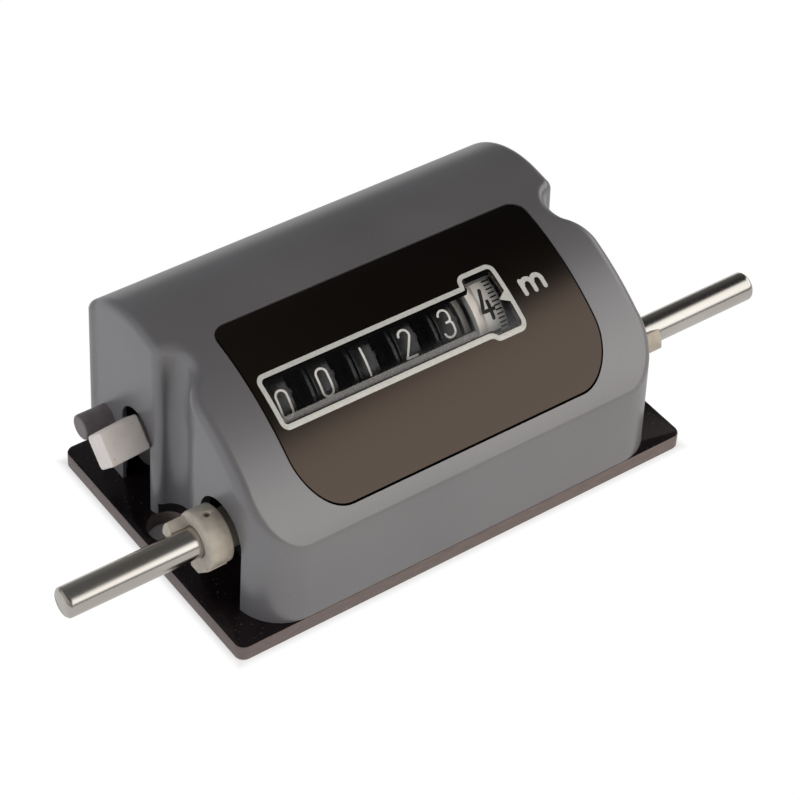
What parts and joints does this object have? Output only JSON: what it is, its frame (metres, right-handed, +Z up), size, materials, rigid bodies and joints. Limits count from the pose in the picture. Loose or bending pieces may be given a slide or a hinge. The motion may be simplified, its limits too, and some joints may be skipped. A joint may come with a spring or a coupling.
{
  "type": "mechanical counter",
  "caption": "Shaft-driven length counter: number wheels under a curved window in a moulded housing on a flat plate, with a through shaft and a reset lever at one end.",
  "frame": {"origin": "bottom centre of the base plate", "axes": "+X along the input shaft to the end without the lever, -Y to the front that the window faces, +Z up from the base plate"},
  "size_m": [0.16, 0.063, 0.0462],
  "materials": {
    "plate_black": "smooth black moulding",
    "housing_grey": "satin grey moulding",
    "window_black": "polished panel, printed black behind a clear reading strip",
    "window_clear": "clear moulding",
    "frame_black": "black painted plate",
    "steel": "ground steel",
    "spring_steel": "dark spring steel",
    "wheel_black": "black wheel with white numbers",
    "wheel_white": "white wheel with black numbers",
    "pinion_nylon": "natural nylon",
    "bush_ivory": "ivory nylon",
    "lever_white": "white moulding",
    "crank_black": "black moulding",
    "brass": "cut brass"
  },
  "bodies": {
    "frame": {"base_plate": "plate_black", "housing": "housing_grey", "window_panel": "window_black", "window_lens": "window_clear", "side_plate_left": "frame_black", "side_plate_right": "frame_black", "tie_rods": "steel", "wheel_axle": "steel", "pinion_axle": "steel", "axle_clips": "spring_steel", "spacer_left": "bush_ivory", "spacer_right": "bush_ivory", "shaft_bush_left": "bush_ivory", "shaft_bush_right": "bush_ivory", "reset_spring": "spring_steel", "finger_pin": "steel", "frame_screws": "steel", "cover_screws": "steel"},
    "shaft": {"input_shaft": "steel", "drive_gear": "brass", "shaft_rings": "spring_steel"},
    "reset": {"reset_shaft": "steel", "reset_crank": "crank_black", "reset_lever": "lever_white", "reset_comb": "steel"},
    "wheel_1": {"number_wheel_1": "wheel_white"},
    "wheel_2": {"number_wheel_2": "wheel_black"},
    "wheel_3": {"number_wheel_3": "wheel_black"},
    "wheel_4": {"number_wheel_4": "wheel_black"},
    "wheel_5": {"number_wheel_5": "wheel_black"},
    "wheel_6": {"number_wheel_6": "wheel_black"},
    "pinion_1": {"carry_pinion_1": "pinion_nylon"},
    "pinion_2": {"carry_pinion_2": "pinion_nylon"},
    "pinion_3": {"carry_pinion_3": "pinion_nylon"},
    "pinion_4": {"carry_pinion_4": "pinion_nylon"},
    "pinion_5": {"carry_pinion_5": "pinion_nylon"}
  },
  "joints": [
    {"name": "shaft_spin", "type": "hinge", "parent": "frame", "child": "shaft", "pos_m": [0, -0.01599, 0.01836], "axis": [1, 0, 0], "continuous": true},
    {"name": "reset_turn", "type": "hinge", "parent": "frame", "child": "reset", "pos_m": [0, 0.01551, 0.01456], "axis": [1, 0, 0], "range_deg": [-20, 0], "stiffness_Nm_per_rad": 0.02, "springref_deg": 20.05},
    {"name": "wheel_1_spin", "type": "hinge", "parent": "frame", "child": "wheel_1", "pos_m": [0, 0.00001, 0.02607], "axis": [1, 0, 0], "continuous": true},
    {"name": "wheel_2_spin", "type": "hinge", "parent": "frame", "child": "wheel_2", "pos_m": [0, 0.00001, 0.02607], "axis": [1, 0, 0], "continuous": true},
    {"name": "wheel_3_spin", "type": "hinge", "parent": "frame", "child": "wheel_3", "pos_m": [0, 0.00001, 0.02607], "axis": [1, 0, 0], "continuous": true},
    {"name": "wheel_4_spin", "type": "hinge", "parent": "frame", "child": "wheel_4", "pos_m": [0, 0.00001, 0.02607], "axis": [1, 0, 0], "continuous": true},
    {"name": "wheel_5_spin", "type": "hinge", "parent": "frame", "child": "wheel_5", "pos_m": [0, 0.00001, 0.02607], "axis": [1, 0, 0], "continuous": true},
    {"name": "wheel_6_spin", "type": "hinge", "parent": "frame", "child": "wheel_6", "pos_m": [0, 0.00001, 0.02607], "axis": [1, 0, 0], "continuous": true},
    {"name": "pinion_1_spin", "type": "hinge", "parent": "frame", "child": "pinion_1", "pos_m": [0, 0.01467, 0.0314], "axis": [1, 0, 0], "continuous": true},
    {"name": "pinion_2_spin", "type": "hinge", "parent": "frame", "child": "pinion_2", "pos_m": [0, 0.01467, 0.0314], "axis": [1, 0, 0], "continuous": true},
    {"name": "pinion_3_spin", "type": "hinge", "parent": "frame", "child": "pinion_3", "pos_m": [0, 0.01467, 0.0314], "axis": [1, 0, 0], "continuous": true},
    {"name": "pinion_4_spin", "type": "hinge", "parent": "frame", "child": "pinion_4", "pos_m": [0, 0.01467, 0.0314], "axis": [1, 0, 0], "continuous": true},
    {"name": "pinion_5_spin", "type": "hinge", "parent": "frame", "child": "pinion_5", "pos_m": [0, 0.01467, 0.0314], "axis": [1, 0, 0], "continuous": true}
  ],
  "couplings": [
    {"joint": "wheel_1_spin", "follows": "shaft_spin", "ratio": -1},
    {"joint": "wheel_2_spin", "follows": "shaft_spin", "ratio": -0.1},
    {"joint": "wheel_3_spin", "follows": "shaft_spin", "ratio": -0.01},
    {"joint": "wheel_4_spin", "follows": "shaft_spin", "ratio": -0.001},
    {"joint": "wheel_5_spin", "follows": "shaft_spin", "ratio": -0.0001},
    {"joint": "wheel_6_spin", "follows": "shaft_spin", "ratio": -0.00001},
    {"joint": "pinion_1_spin", "follows": "shaft_spin", "ratio": 0.25},
    {"joint": "pinion_2_spin", "follows": "shaft_spin", "ratio": 0.025},
    {"joint": "pinion_3_spin", "follows": "shaft_spin", "ratio": 0.0025},
    {"joint": "pinion_4_spin", "follows": "shaft_spin", "ratio": 0.00025},
    {"joint": "pinion_5_spin", "follows": "shaft_spin", "ratio": 0.000025}
  ]
}
